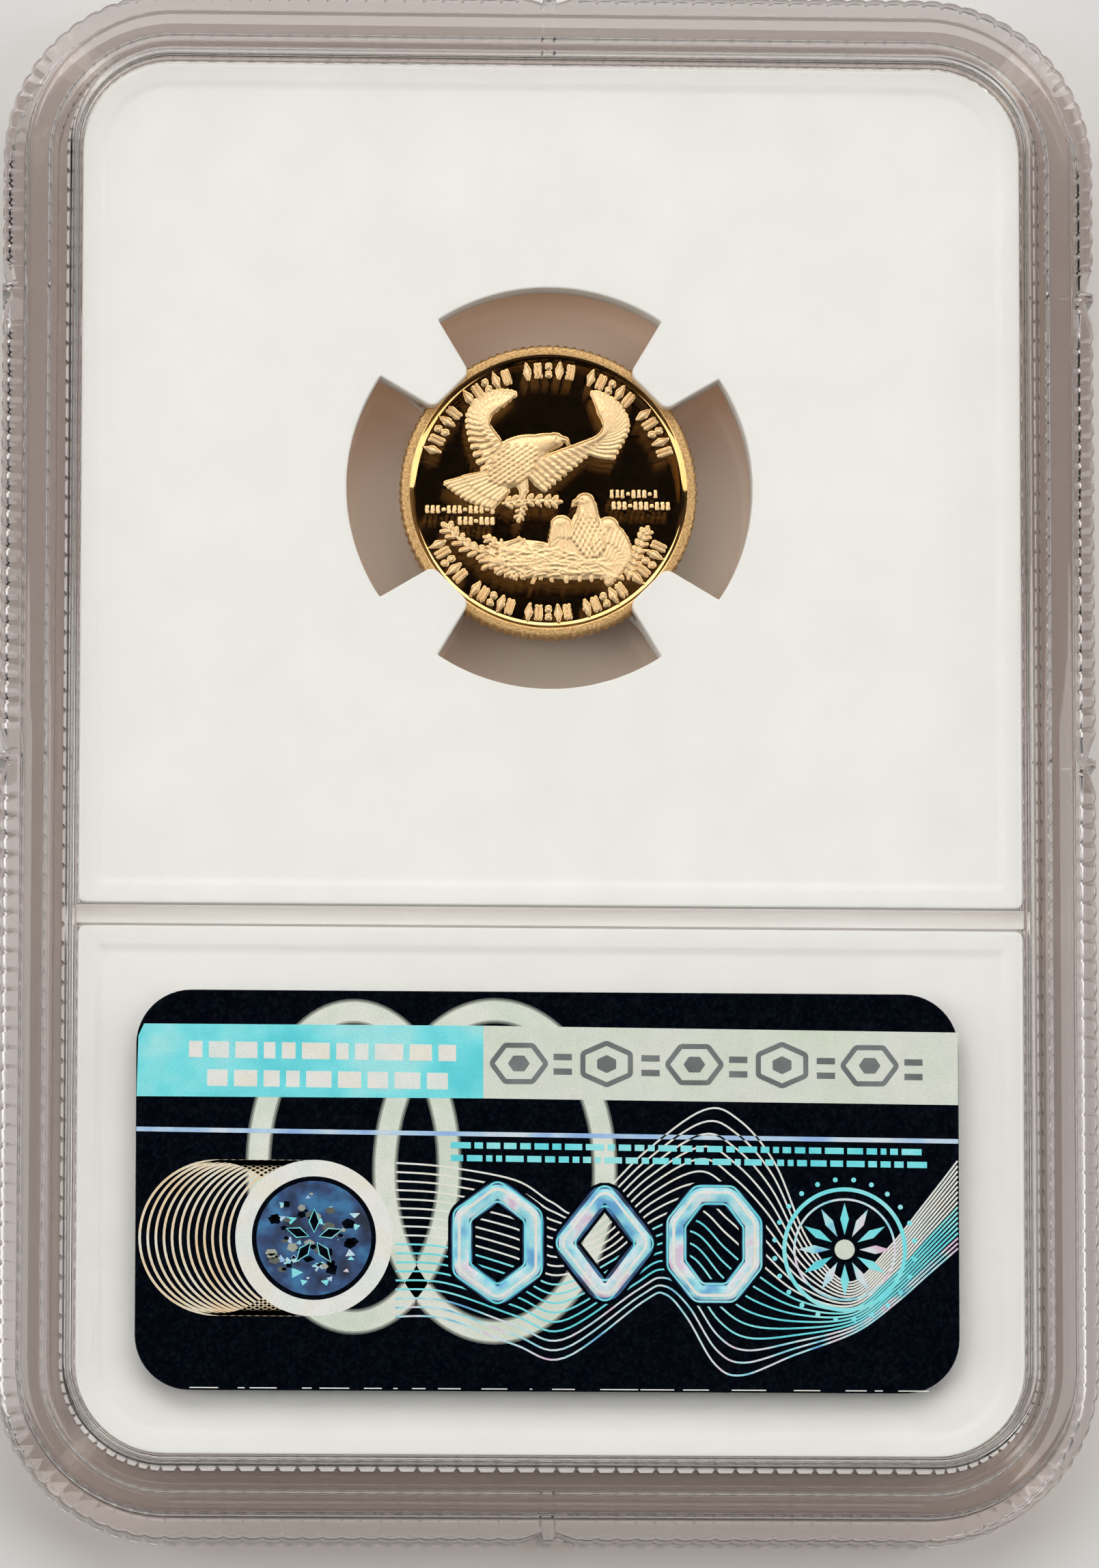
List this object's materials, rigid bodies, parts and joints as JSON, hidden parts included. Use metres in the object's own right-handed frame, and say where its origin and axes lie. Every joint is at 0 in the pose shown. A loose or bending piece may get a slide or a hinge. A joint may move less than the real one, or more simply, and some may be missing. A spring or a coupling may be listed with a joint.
{
  "type": "graded coin slab",
  "caption": "Sealed clear plastic holder with a small gold coin held by prongs in a white plate, a paper label at the front and a foil sticker on the back.",
  "frame": {"origin": "middle of the front face, which is the face the slab lies on", "axes": "+Z out of the back face, +Y towards the coin end, +X to the right when the back is seen with the coin end up"},
  "size_m": [0.0604, 0.0856, 0.008],
  "materials": {
    "clear_plastic": "clear injection-moulded polystyrene, polished windows",
    "white_plastic": "fine matt moulded white",
    "coin_gold": "proof struck gold alloy, mirror field and frosted relief",
    "label_paper": "coated printed paper",
    "sticker_foil": "black foil sticker with holographic printing"
  },
  "bodies": {
    "root": {"front_shell": "clear_plastic", "back_shell": "clear_plastic", "coin_plate": "white_plastic", "label_backing": "white_plastic", "coin": "coin_gold", "front_label": "label_paper", "hologram_sticker": "sticker_foil"}
  },
  "joints": []
}
